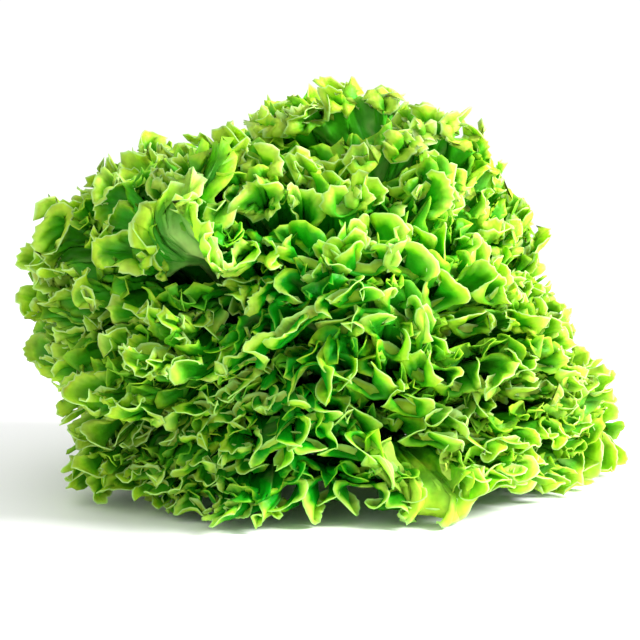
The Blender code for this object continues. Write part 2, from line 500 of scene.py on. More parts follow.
LOBES = (
    Lobe(leaf=39, azimuth=radians(284), sides=(radians(6), radians(14)), start=0.70,
         length=0.050, turn=radians(82), calm=0.65, pale=0.80),
    Lobe(leaf=15, azimuth=radians(234), sides=(radians(3.5), radians(8.5)), start=0.70,
         length=0.070, turn=radians(-65), calm=0.70, squeeze=0.55, ribbed=True),
)


@dataclass(frozen=True)
class FrillForm:
    """How a leaf's margin runs and waves, and where on the head it is frizzy.

    Rows and heights go from 0 at the stem to 1 at the margin.
    """

    # Outline of the leaf.
    margin_sweep: float = radians(104)
    margin_core: float = 0.80
    margin_beats: float = 6
    margin_swing: float = 0.02
    foot_half_angle: float = radians(27)
    spread_rows: tuple = (-0.15, 0.75)
    near_margin: tuple = (0.6, 1.0)
    # Number and spacing of the waves.
    wave_length: float = 0.0205
    least_waves: int = 3
    facing: tuple = (-0.1, 0.5)
    crowding: tuple = (0.45, 0.55)
    spacing_share: float = 0.25
    evenness: float = 0.85
    # Shape of the big waves and of the small frills on them.
    flare_from: float = 0.30
    flare_power: float = 1.8
    lip_share: float = 0.45
    lip_power: float = 14
    droop: float = 0.05
    lip_droop: float = 0.06
    lean_power: float = 1.5
    frills_per_wave: float = 2.3
    frill_from: float = 0.55
    fold_rows: tuple = (0.62, 0.74)
    # Room among the neighbours.
    widest_room: float = radians(11)
    beside_room: float = radians(30)
    heart_room: float = 1.2
    side_ease: tuple = (radians(2), radians(14))
    floor_limit: float = radians(118)
    widest_sweep: float = radians(125)
    # Where the margin is calm and where it is frizzy.
    calm_share: float = 0.14
    frizzy_left: tuple = (-0.05, 0.60)
    frizzy_right: tuple = (0.35, 0.85)
    right_frizz: float = 0.7
    frizzy_top: tuple = (radians(32), radians(58))
    calmer_low: float = 0.60
    calm_low: tuple = (radians(60), radians(84))
    frizz_limits: tuple = (0.05, 1.15)


@dataclass(frozen=True)
class ReliefForm:
    """Small relief on a blade: rolled lip, curls, teeth, pleats and blisters."""

    roll_length: float = 9.0 * MM
    roll_from: float = 0.935
    roll_outward: float = 0.25
    roll_most: float = 1.1
    curl_size: float = 2.6 * MM
    curls_per_wave: float = 8.5
    curl_from: float = 0.74
    curl_power: float = 1.3
    rim_rows: tuple = (0.88, 1.0)
    notch_size: float = 1.0 * MM
    tooth_size: float = 1.6 * MM
    teeth_per_wave: float = 30.0
    tooth_range: tuple = (0.2, 1.4)
    pleat_size: float = 2.2 * MM
    pleats_per_wave: float = 1.6
    pleat_rows: tuple = ((0.35, 0.62), (0.66, 0.9))
    blister_size: float = 1.2 * MM
    blister_beats: tuple = (38, 34)
    blister_slants: tuple = (3, 4)
    blister_rows: tuple = ((0.25, 0.5), (0.82, 0.97))


class LeafForm:
    """Form of one leaf, on the line that its solid has, with the fine relief on top."""

    def __init__(self, index: int, head: HeadForm, frill: FrillForm, relief: ReliefForm) -> None:
        """Work out the leaf's margin and how many waves it carries.

        Args:
            index: Number of the leaf, from 0 in the heart.
            head: Form of the whole head.
            frill: Form of the margin.
            relief: Form of the small relief.
        """
        self.index = index
        self.head = head
        self.frill = frill
        self.relief = relief
        self.lobe = next((lobe for lobe in LOBES if lobe.leaf == index), None)
        self.openings = head.openings()
        self.opening = self.openings[index]
        self.azimuths = head.start_azimuth + np.arange(len(self.openings)) * head.golden_angle
        self.azimuth = self.azimuths[index]
        self.halves = np.array([head.half_angle(opening) for opening in self.openings])
        self.places = np.linspace(-1, 1, MARGIN_SAMPLES)
        self.run = self._margin_run()
        self.waves = max(frill.least_waves, round(self.run[-1] / frill.wave_length))
        self.swept = np.linspace(-frill.widest_sweep, frill.widest_sweep, ROOM_SAMPLES)
        self.inner_room, self.outer_room = self.room(self.azimuth + self.swept)

    def _margin_run(self) -> np.ndarray:
        """Measure along the margin, its ends that run back to the stem for less.

        Returns:
            Length up to each of the margin's places.
        """
        offset, reach = self.outline(self.places)
        opening = np.full(MARGIN_SAMPLES, self.opening)
        line = self.head.point(reach, opening, self.azimuth + offset)
        steps = np.linalg.norm(np.diff(line, axis=0), axis=1)
        middle = 0.5 * (self.places[1:] + self.places[:-1])
        facing = smooth(np.cos(middle * self.frill.margin_sweep), *self.frill.facing)
        least, more = self.frill.crowding
        return np.concatenate([[0], np.cumsum(steps * (least + more * facing))])

    def outline(self, place: np.ndarray) -> tuple:
        """Trace the margin.

        Args:
            place: Places along the margin, -1 to 1.

        Returns:
            Azimuth offsets from the leaf's middle, and reaches.
        """
        frill = self.frill
        sweep = place * frill.margin_sweep
        uneven = frill.margin_swing * wobble(frill.margin_beats * place, self.index)
        length = Own.LENGTH.of_leaf(self.index) + uneven
        reach = (frill.margin_core + (1 - frill.margin_core) * np.cos(sweep)) * length
        return self.halves[self.index] * np.sin(sweep), reach

    def room(self, azimuth: np.ndarray) -> tuple:
        """Find half of the free angle towards the heart and away from it.

        Args:
            azimuth: Angles round the stem.

        Returns:
            Room towards the heart and room away from it, in radians.
        """
        frill = self.frill
        inner = np.full(np.shape(azimuth), frill.widest_room)
        outer = np.full(np.shape(azimuth), frill.widest_room)
        for other in range(len(self.openings)):
            if other == self.index:
                continue
            away = np.abs(turn_between(azimuth - self.azimuths[other]))
            beside = smooth(away - self.halves[other], *frill.side_ease)
            gap = abs(self.openings[other] - self.opening) + frill.beside_room * beside
            if other < self.index:
                inner = np.minimum(inner, gap)
            else:
                outer = np.minimum(outer, gap)
        inner = np.minimum(inner, self.opening * frill.heart_room)
        outer = np.minimum(outer, frill.floor_limit - self.opening)
        return 0.5 * inner, 0.5 * outer

    def place_of(self, wave: np.ndarray) -> np.ndarray:
        """Give the place along the margin, -1 to 1, of an unshifted wave number."""
        along = np.clip(wave / self.waves, 0, 1)
        return np.interp(along * self.run[-1], self.run, self.places)

    def paler(self, points: np.ndarray) -> np.ndarray:
        """Tell how much paler a lobe of this leaf makes each point.

        Args:
            points: Points of the leaf.

        Returns:
            Shares, 0 where nothing changes.
        """
        if self.lobe is None:
            return np.zeros(len(points))
        return self.lobe.pale * self.lobe.share(np.arctan2(points[:, 1], points[:, 0]))

    def frill_count(self, wave: np.ndarray, seed: float) -> np.ndarray:
        """Count the small frills along the margin, unevenly spaced."""
        return self.frill.frills_per_wave * wave + Drift.FRILL_COUNT.along(wave, seed)

    def frizz(self, azimuth: np.ndarray) -> np.ndarray:
        """Tell how finely the margin curls: most at the top, then high on both sides.

        Args:
            azimuth: Angles round the stem.

        Returns:
            Shares from almost 0 to a little over 1.
        """
        frill = self.frill
        left = smooth(-np.cos(azimuth), *frill.frizzy_left)
        right = frill.right_frizz * smooth(np.cos(azimuth), *frill.frizzy_right)
        low = 1 - frill.calmer_low * smooth(self.opening, *frill.calm_low)
        top = 1 - smooth(self.opening, *frill.frizzy_top)
        most = np.maximum(low * np.maximum(left, right), top)
        share = frill.calm_share + (1 - frill.calm_share) * most
        return np.clip(share + Own.FRIZZ.of_leaf(self.index), *frill.frizz_limits)

    def points(self, wave: np.ndarray, height: np.ndarray, fold: Fold = Fold.OUTER) -> np.ndarray:
        """Place one layer of the blade, without its small relief.

        Args:
            wave: 0 to the number of waves, along the margin.
            height: 0 at the stem to 1 at the margin.
            fold: Layer of the margin.

        Returns:
            Points of the layer's middle surface.
        """
        opening, swept, reach = self._lie(wave, height, Fold.OUTER)
        if fold is Fold.INNER:
            own = self._lie(wave, height, fold)
            free = smooth(height, *self.frill.fold_rows)
            opening, swept, reach = (
                base + (new - base) * free for base, new in zip((opening, swept, reach), own)
            )
        azimuth = self.azimuth + swept
        placed = self.head.point(reach, opening, azimuth)
        if self.lobe is not None:
            placed = self.lobe.bend(placed, height, azimuth, self.opening)
        return self.head.swirl(placed)

    def _lie(self, wave: np.ndarray, height: np.ndarray, fold: Fold) -> tuple:
        """Work out where one layer of the blade runs.

        Args:
            wave: 0 to the number of waves, along the margin.
            height: 0 at the stem to 1 at the margin.
            fold: Layer of the margin.

        Returns:
            Openings, azimuths from the leaf's middle, and reaches.
        """
        frill, own = self.frill, FOLDS[fold]
        swept, margin_reach = self._spread(wave, height, fold)
        near_margin = smooth(height, *frill.near_margin)
        uneven = Drift.REACH.along(wave, self.index + own.seed) * near_margin
        droop = frill.droop * self._flare(height, frill.flare_from) + frill.lip_droop * self._lip(height)
        droop = droop * np.cos(2 * pi * wave + own.seed) ** 2
        reach = margin_reach * (height * (1 + uneven) - droop - own.recess * near_margin)
        inner = np.interp(swept, self.swept, self.inner_room)
        outer = np.interp(swept, self.swept, self.outer_room)
        swing = np.minimum((inner + outer) * own.fill, own.widest)
        lean = own.lean * (outer if fold is Fold.OUTER else -inner)
        centre = lean * np.minimum(rise(height, frill.flare_from), 1) ** frill.lean_power
        return self.opening + centre + swing * self._crest(wave, height, swept, fold), swept, reach

    def _spread(self, wave: np.ndarray, height: np.ndarray, fold: Fold) -> tuple:
        """Spread a layer out from the stem, with frills that overhang sideways.

        Args:
            wave: 0 to the number of waves, along the margin.
            height: 0 at the stem to 1 at the margin.
            fold: Layer of the margin.

        Returns:
            Azimuths from the leaf's middle, and the margin's reach above each point.
        """
        frill, own = self.frill, FOLDS[fold]
        seed = self.index + own.seed
        along = np.clip(wave / self.waves, 0, 1)
        uneven = frill.spacing_share / self.waves * Drift.SPACING.along(wave, seed)
        along = along + uneven * np.sin(pi * along)
        slow = 2 * pi * wave + own.seed
        quick = 2 * pi * self.frill_count(wave, seed)
        near_margin = smooth(height, *frill.near_margin)
        step = self.run[-1] / self.waves
        hang = own.hang * Drift.HANG.along(wave, seed)
        quick_hang = own.quick_hang * near_margin * np.sin(2 * quick)
        shift = hang * near_margin * np.sin(2 * slow) * step
        shift = shift + quick_hang * step / frill.frills_per_wave
        place = np.interp(along * self.run[-1] + shift, self.run, self.places)
        offset, margin_reach = self.outline(place)
        spread = smooth(height, *frill.spread_rows)
        return frill.foot_half_angle * place * (1 - spread) + offset * spread, margin_reach

    def _lip(self, height: np.ndarray) -> np.ndarray:
        """Tell how much of each point is lip."""
        return rise(height, self.frill.flare_from) ** self.frill.lip_power

    def _flare(self, height: np.ndarray, start: float) -> np.ndarray:
        """Tell how far frills that begin at a start height have flared."""
        share = self.frill.lip_share
        return (1 - share) * rise(height, start) ** self.frill.flare_power + share * self._lip(height)

    def _crest(self, wave: np.ndarray, height: np.ndarray, swept: np.ndarray, fold: Fold) -> np.ndarray:
        """Add the big and the small frills of a layer.

        Args:
            wave: 0 to the number of waves, along the margin.
            height: 0 at the stem to 1 at the margin.
            swept: Azimuths from the leaf's middle.
            fold: Layer of the margin.

        Returns:
            Swings to either side, as shares of the layer's swing.
        """
        frill, own = self.frill, FOLDS[fold]
        seed = self.index + own.seed
        frizz = self.frizz(self.azimuth + swept)
        slow = own.slow[0] + (own.slow[1] - own.slow[0]) * frizz
        crest = slow * self._flare(height, frill.flare_from) * np.cos(2 * pi * wave + own.seed)
        crest = crest * Drift.BIG_FRILL.along(wave, seed)
        quick = own.quick[0] + (own.quick[1] - own.quick[0]) * frizz
        quick = quick * Drift.SMALL_FRILL.along(wave, seed) * self._flare(height, frill.frill_from)
        crest = crest + quick * np.cos(2 * pi * self.frill_count(wave, seed))
        if self.lobe is None:
            return crest
        return crest * (1 - self.lobe.calm * self.lobe.share(self.azimuth + swept))

    def even_waves(self, column: np.ndarray, fold: Fold) -> np.ndarray:
        """Space columns evenly along the real length of the waving margin.

        Args:
            column: 0 to the number of waves, evenly spaced along the margin.
            fold: Layer of the margin.

        Returns:
            Wave number of each column.
        """
        wave = np.linspace(0, self.waves, self.waves * SAMPLES_PER_WAVE + 1)
        line = self.points(wave, np.ones_like(wave), fold)
        length = np.concatenate([[0], np.cumsum(np.linalg.norm(np.diff(line, axis=0), axis=1))])
        evenness = self.frill.evenness
        even = evenness * length / length[-1] * self.waves + (1 - evenness) * wave
        return np.interp(column, even, wave)

    def fine_points(self, column: np.ndarray, wave: np.ndarray, height: np.ndarray, fold: Fold) -> np.ndarray:
        """Place one layer of the blade with its rolled lip and small relief.

        Args:
            column: Columns evenly spaced along the margin, as many as waves.
            wave: 0 to the number of waves, along the margin.
            height: 0 at the stem to 1 at the margin.
            fold: Layer of the margin.

        Returns:
            Points of the layer's middle surface.
        """
        along = self.points(wave + STEP, height, fold) - self.points(wave - STEP, height, fold)
        outward = self.points(wave, height + STEP, fold) - self.points(wave, height - STEP, fold)
        normal = np.cross(along, outward)
        normal /= np.linalg.norm(normal, axis=-1, keepdims=True) + 1e-12
        outward /= np.linalg.norm(outward, axis=-1, keepdims=True) + 1e-12
        spots = self.points(wave, height, fold)
        frizz = self.frizz(np.arctan2(spots[..., 1], spots[..., 0]))
        curl_seed = self.index + FOLDS[fold].curl_seed
        ripple = self._blisters(wave, height) + self._curls(column, height, frizz, curl_seed)
        teeth = self._teeth(column, height, frizz, curl_seed)

        turn = self._roll(wave, frizz, fold)
        rolled = np.minimum(rise(height, self.relief.roll_from), 1)
        over = self.relief.roll_length / turn * (1 - np.cos(turn * rolled))
        back = self.relief.roll_length * (np.sin(turn * rolled) / turn - rolled)
        up, on = np.cos(turn * rolled), np.sin(turn * rolled)
        lifted = spots + normal * (over + up * ripple + on * teeth)[:, None]
        lifted = lifted + outward * (back + up * teeth - on * ripple)[:, None]
        return self.head.on_floor(lifted)

    def _blisters(self, wave: np.ndarray, height: np.ndarray) -> np.ndarray:
        """Raise the pleats below the margin and the blisters on the blade.

        Args:
            wave: 0 to the number of waves, along the margin.
            height: 0 at the stem to 1 at the margin.

        Returns:
            Heights over the smooth surface, in metres.
        """
        relief, place = self.relief, self.place_of(wave)
        pleat = relief.pleats_per_wave * wave + Drift.PLEAT.along(wave, self.index)
        pleated = relief.pleat_size * belt(height, *relief.pleat_rows) * np.sin(2 * pi * pleat)
        across, up = relief.blister_beats
        slant, back = relief.blister_slants
        blister = wobble(place * across + slant * height, self.index)
        blister = blister * wobble(height * up - back * place, self.index + 1)
        return pleated + relief.blister_size * belt(height, *relief.blister_rows) * blister

    def _curls(self, column: np.ndarray, height: np.ndarray, frizz: np.ndarray, seed: float) -> np.ndarray:
        """Raise the small curls of the margin.

        Args:
            column: Columns evenly spaced along the margin, as many as waves.
            height: 0 at the stem to 1 at the margin.
            frizz: How finely each point curls.
            seed: Number that picks the unevenness.

        Returns:
            Heights over the smooth surface, in metres.
        """
        relief = self.relief
        curl = relief.curls_per_wave * column + Drift.CURL_PLACE.along(column, seed)
        size = relief.curl_size * frizz * Drift.CURL_SIZE.along(column, seed)
        return size * rise(height, relief.curl_from) ** relief.curl_power * np.sin(2 * pi * curl)

    def _teeth(self, column: np.ndarray, height: np.ndarray, frizz: np.ndarray, seed: float) -> np.ndarray:
        """Cut notches and teeth into the rim.

        Args:
            column: Columns evenly spaced along the margin, as many as waves.
            height: 0 at the stem to 1 at the margin.
            frizz: How finely each point curls.
            seed: Number that picks the unevenness.

        Returns:
            How far each point is moved along the blade, in metres.
        """
        relief = self.relief
        notch = relief.notch_size * Drift.NOTCH.along(column, seed)
        saw = (relief.teeth_per_wave * column) % 1
        tooth = (np.abs(2 * saw - 1) - 0.5) * np.clip(Drift.TOOTH.along(column, seed), *relief.tooth_range)
        return smooth(height, *relief.rim_rows) ** 2 * (notch + relief.tooth_size * frizz * tooth)

    def _roll(self, wave: np.ndarray, frizz: np.ndarray, fold: Fold) -> np.ndarray:
        """Turn the lip over, outwards on crests and inwards in troughs.

        Args:
            wave: 0 to the number of waves, along the margin.
            frizz: How finely each point curls.
            fold: Layer of the margin.

        Returns:
            Angles that the lip turns through, never quite 0.
        """
        relief, own = self.relief, FOLDS[fold]
        slow = np.cos(2 * pi * wave + own.seed)
        quick = np.cos(2 * pi * self.frill_count(wave, self.index + own.seed))
        turn = relief.roll_outward + slow + np.clip(frizz, 0, 1) * (quick - slow)
        turn = own.roll * np.clip(turn, -relief.roll_most, relief.roll_most)
        return np.where(np.abs(turn) < LEAST_TURN, LEAST_TURN, turn)


@dataclass(frozen=True)
class RowPlan:
    """Rows of one layer from low to margin, and how many columns each has a wave."""

    rows: tuple
    base_columns: int = 6

    def heights(self) -> np.ndarray:
        """Give the height of each row."""
        return np.array([height for height, _ in self.rows])


PLANS = {
    Fold.OUTER: RowPlan((
        (0.0, 6), (0.20, 6), (0.38, 6), (0.52, 12), (0.64, 12), (0.74, 24), (0.83, 24),
        (0.90, 36), (0.938, 54), (0.96, 60), (0.98, 60), (1.0, 60),
    )),
    Fold.INNER: RowPlan((
        (0.62, 12), (0.74, 24), (0.85, 24), (0.935, 36), (0.97, 42), (1.0, 42),
    )),
}


class Surface:
    """A node material while it is being wired."""

    def __init__(self, name: str) -> None:
        """Start a material with its plain shader."""
        self.made = bpy.data.materials.new(name)
        self.made.use_nodes = True
        self.nodes = self.made.node_tree.nodes
        self.shader = self.nodes["Principled BSDF"]
        self.output = self.nodes["Material Output"]
        self.spot = self.add("ShaderNodeTexCoord").outputs["Object"]

    def add(self, kind: str, inputs: dict | None = None, **settings: object) -> bpy.types.Node:
        """Add one node.

        Args:
            kind: Type of the node.
            inputs: Values or sockets to join, by input name or number.
            settings: Properties of the node itself.

        Returns:
            The node.
        """
        node = self.nodes.new(kind)
        for name, value in settings.items():
            setattr(node, name, value)
        for name, value in (inputs or {}).items():
            self.join(node, name, value)
        return node

    def join(self, node: bpy.types.Node, name: str | int, value: object) -> None:
        """Give an input a value, or link it when the value is a socket.

        Args:
            node: Node that has the input.
            name: Name or number of the input.
            value: Value or socket.
        """
        if isinstance(value, bpy.types.NodeSocket):
            self.made.node_tree.links.new(value, node.inputs[name])
        else:
            node.inputs[name].default_value = value

    def attribute(self, name: str) -> bpy.types.NodeSocket:
        """Read a number that the mesh keeps for each point."""
        return self.add("ShaderNodeAttribute", attribute_name=name).outputs["Fac"]

    def noise(self, scale: float, detail: float = 2.0) -> bpy.types.NodeSocket:
        """Make soft noise around 0.5, of so many spots a metre and finer octaves."""
        values = {"Vector": self.spot, "Scale": scale, "Detail": detail}
        return self.add("ShaderNodeTexNoise", values).outputs["Fac"]

    def spread(self, value: bpy.types.NodeSocket, low: float, high: float) -> bpy.types.NodeSocket:
        """Stretch soft noise to a range from low to high."""
        return self.limits(value, *NOISE_RANGE, low, high)

    def limits(self, value: bpy.types.NodeSocket, start: float, end: float,
               first: float, last: float) -> bpy.types.NodeSocket:
        """Map a value from one range to another and stop at its ends.

        Args:
            value: Socket to map.
            start: Value that becomes the first result.
            end: Value that becomes the last result.
            first: Result at the start.
            last: Result at the end.

        Returns:
            Socket with the result.
        """
        values = {"Value": value, "From Min": start, "From Max": end, "To Min": first, "To Max": last}
        return self.add("ShaderNodeMapRange", values).outputs["Result"]

    def math(self, operation: str, first: object, second: object) -> bpy.types.NodeSocket:
        """Join two numbers by one operation."""
        return self.add("ShaderNodeMath", {0: first, 1: second}, operation=operation).outputs["Value"]

    def mix(self, share: object, first: object, second: object) -> bpy.types.NodeSocket:
        """Blend two colours by a share of the second."""
        values = {"Factor": share, "A": first, "B": second}
        return self.add("ShaderNodeMix", values, data_type="RGBA").outputs["Result"]

    def bump(self, height: bpy.types.NodeSocket, strength: float, distance: float) -> None:
        """Raise the shader's surface by a height.

        Args:
            height: Socket with the height.
            strength: Share of the effect.
            distance: Height of 1, in metres.
        """
        values = {"Height": height, "Strength": strength, "Distance": distance}
        raised = self.add("ShaderNodeBump", values)
        self.join(self.shader, "Normal", raised.outputs["Normal"])


@dataclass(frozen=True)
class LeafFinish:
    """Skin of a leaf: green blade, pale ribs and veins, thin pale edge.

    Depths are insets from the margin in units of 50 mm, scales are spots a metre, and
    the sun fields give where the yellow starts, where it is full, and its share there.
    The sun fields are painted sunlight: yellow laid on the right and the top, where the
    key light falls, and on the left end.
    """

    name: str
    edge: tuple
    lip: tuple
    margin: tuple
    blade: tuple
    deep: tuple
    rib: tuple
    # Greens from the lip inwards.
    ramp: tuple = (0.05, 0.09, 0.14, 0.60)
    ramp_scale: float = 70
    ramp_drift: float = 0.07
    # Painted sunlight: yellow laid on both ends and the top, most where the key light falls on the right and
    # the top.
    painted_sun_yellow: tuple = (0.60, 0.78, 0.040)
    painted_sun_depths: tuple = (0.05, 0.24)
    painted_sun_shares: tuple = (1.0, 0.18)
    right_sun: tuple = (-0.01, 0.10, 0.72)
    left_sun: tuple = (-0.04, -0.12, 0.60)
    top_sun: tuple = (0.11, 0.18, 0.60)
    # Patches along the margin, as a scale and a share, and scorched tips.
    cream: tuple = (0.66, 0.88, 0.19)
    cream_patches: tuple = (38, 0.75)
    olive: tuple = (0.44, 0.56, 0.015)
    olive_patches: tuple = (52, 0.20)
    patch_noise: tuple = (0.38, 0.60)
    patch_depth: float = 0.12
    scorch: tuple = (0.40, 0.27, 0.05)
    scorch_scale: float = 95
    scorch_noise: tuple = (0.68, 0.76)
    scorch_share: float = 0.5
    scorch_depths: tuple = (0.01, 0.05)
    # Line of the edge, with a paler copy of its colour laid as painted highlight where the painted sunlight
    # falls, and the veins.
    painted_lit_edge: tuple = (0.78, 0.97, 0.50)
    edge_depths: tuple = (0.003, 0.020)
    edge_share: float = 0.75
    vein_gap: float = 0.055
    vein_share: float = 0.55
    vein_width: float = 0.16
    vein_wander: float = 0.012
    vein_scale: float = 55
    vein_depths: tuple = (0.15, 0.7)
    # Tone, grain, gloss and light through the blade.
    tone_scale: float = 160
    tones: tuple = (0.90, 1.20)
    grain_scales: tuple = (420, 150)
    grain_strength: float = 0.5
    grain_height: float = 0.9 * MM
    roughness: float = 0.45
    specular: float = 0.22
    translucency: float = 0.42

    def material(self) -> bpy.types.Material:
        """Build the node material.

        Returns:
            The material, named after the finish.
        """
        skin = Surface(self.name)
        inset, painted_sunlight = skin.attribute("inset"), self._painted_sunlight(skin)
        colour = self._ramp(skin, inset)
        # Painted sunlight: the lips turn yellow on the right and the top, where the key light falls, and on
        # the left end.
        painted_sun_reach = skin.limits(inset, *self.painted_sun_depths, *self.painted_sun_shares)
        colour = skin.mix(skin.math("MULTIPLY", painted_sunlight, painted_sun_reach), colour, (*self.painted_sun_yellow, 1))
        colour = self._patched(skin, inset, colour)
        colour = skin.mix(self._veins(skin, inset), colour, (*self.rib, 1))
        colour = skin.mix(skin.attribute("rib_share"), colour, (*self.rib, 1))
        # Painted highlight: the edge line takes its paler copy where the painted sunlight falls.
        edge = skin.mix(painted_sunlight, (*self.edge, 1), (*self.painted_lit_edge, 1))
        colour = skin.mix(skin.limits(inset, *self.edge_depths, self.edge_share, 0.0), colour, edge)
        self._light_through(skin, colour)
        return skin.made

    def _ramp(self, skin: Surface, inset: bpy.types.NodeSocket) -> bpy.types.NodeSocket:
        """Colour the blade from its lip to its depth.

        Args:
            skin: Material being wired.
            inset: Socket with the depth of each point.

        Returns:
            Socket with the colour.
        """
        drift = skin.spread(skin.noise(self.ramp_scale, 3), -self.ramp_drift, self.ramp_drift)
        paler = skin.add("ShaderNodeValToRGB", {"Fac": skin.math("ADD", inset, drift)})
        stops = paler.color_ramp.elements
        stops[0].position, stops[0].color = 0.0, (*self.lip, 1)
        stops[1].position, stops[1].color = 1.0, (*self.deep, 1)
        for place, colour in zip(self.ramp, (self.lip, self.margin, self.blade, self.deep)):
            stops.new(place).color = (*colour, 1)
        return paler.outputs["Color"]

    def _painted_sunlight(self, skin: Surface) -> bpy.types.NodeSocket:
        """Tell how much painted sunlight a place gets: yellow on both ends and the top.

        Args:
            skin: Material being wired.

        Returns:
            Socket with the share.
        """
        parts = skin.add("ShaderNodeSeparateXYZ", {"Vector": skin.spot}).outputs
        suns = ((parts["X"], self.right_sun), (parts["X"], self.left_sun), (parts["Z"], self.top_sun))
        right, left, top = (skin.limits(axis, start, full, 0.0, share) for axis, (start, full, share) in suns)
        return skin.math("MAXIMUM", skin.math("MAXIMUM", left, right), top)

    def _patched(self, skin: Surface, inset: bpy.types.NodeSocket,
                 colour: bpy.types.NodeSocket) -> bpy.types.NodeSocket:
        """Lay cream and olive patches and a few scorched tips along the margin.

        Args:
            skin: Material being wired.
            inset: Socket with the depth of each point.
            colour: Socket with the colour so far.

        Returns:
            Socket with the patched colour.
        """
        near = skin.limits(inset, 0.0, self.patch_depth, 1.0, 0.0)
        for tint, (scale, share) in ((self.cream, self.cream_patches), (self.olive, self.olive_patches)):
            patch = skin.limits(skin.noise(scale, 2), *self.patch_noise, 0.0, share)
            colour = skin.mix(skin.math("MULTIPLY", patch, near), colour, (*tint, 1))
        spot = skin.limits(skin.noise(self.scorch_scale, 1), *self.scorch_noise, 0.0, self.scorch_share)
        tip = skin.limits(inset, *self.scorch_depths, 1.0, 0.0)
        return skin.mix(skin.math("MULTIPLY", spot, tip), colour, (*self.scorch, 1))

    def _veins(self, skin: Surface, inset: bpy.types.NodeSocket) -> bpy.types.NodeSocket:
        """Draw side veins that fan out from the rib towards the margin.

        Args:
            skin: Material being wired.
            inset: Socket with the depth of each point.

        Returns:
            Socket with the share of vein.
        """
        wander = skin.spread(skin.noise(self.vein_scale, 2), -self.vein_wander, self.vein_wander)
        place = skin.math("ADD", skin.attribute("place"), wander)
        beat = skin.math("PINGPONG", place, self.vein_gap)
        share = skin.limits(beat, 0.0, self.vein_width * self.vein_gap, self.vein_share, 0.0)
        return skin.math("MULTIPLY", share, skin.limits(inset, *self.vein_depths, 0.0, 1.0))

    def _light_through(self, skin: Surface, colour: bpy.types.NodeSocket) -> None:
        """Finish the skin: uneven tone, grain, soft gloss and light through the blade.

        Args:
            skin: Material being wired.
            colour: Socket with the colour.
        """
        tone = skin.spread(skin.noise(self.tone_scale, 2), *self.tones)
        tone = skin.math("MULTIPLY", tone, skin.attribute("shade"))
        toned = skin.add("ShaderNodeHueSaturation", {"Color": colour, "Value": tone}).outputs["Color"]
        skin.join(skin.shader, "Base Color", toned)
        skin.join(skin.shader, "Roughness", self.roughness)
        skin.join(skin.shader, "Specular IOR Level", self.specular)
        fine, coarse = (skin.noise(scale, 2) for scale in self.grain_scales)
        skin.bump(skin.math("ADD", fine, coarse), self.grain_strength, self.grain_height)
        through = skin.add("ShaderNodeBsdfTranslucent", {"Color": toned}).outputs["BSDF"]
        layers = {"Fac": self.translucency, 1: skin.shader.outputs["BSDF"], 2: through}
        skin.join(skin.output, "Surface", skin.add("ShaderNodeMixShader", layers).outputs["Shader"])


FINISHES = {
    LeafAge.HEART: LeafFinish(
        "heart_leaf_skin",
        edge=(0.64, 0.92, 0.40), lip=(0.55, 0.84, 0.045), margin=(0.30, 0.74, 0.010),
        blade=(0.026, 0.54, 0.006), deep=(0.006, 0.42, 0.005), rib=(0.66, 0.86, 0.30),
    ),
    LeafAge.MIDDLE: LeafFinish(
        "middle_leaf_skin",
        edge=(0.56, 0.92, 0.31), lip=(0.50, 0.81, 0.036), margin=(0.21, 0.67, 0.007),
        blade=(0.006, 0.43, 0.005), deep=(0.002, 0.34, 0.005), rib=(0.60, 0.84, 0.24),
    ),
    LeafAge.OUTER: LeafFinish(
        "outer_leaf_skin",
        edge=(0.52, 0.90, 0.25), lip=(0.47, 0.79, 0.033), margin=(0.18, 0.63, 0.007),
        blade=(0.005, 0.40, 0.005), deep=(0.002, 0.31, 0.005), rib=(0.56, 0.80, 0.22),
    ),
}


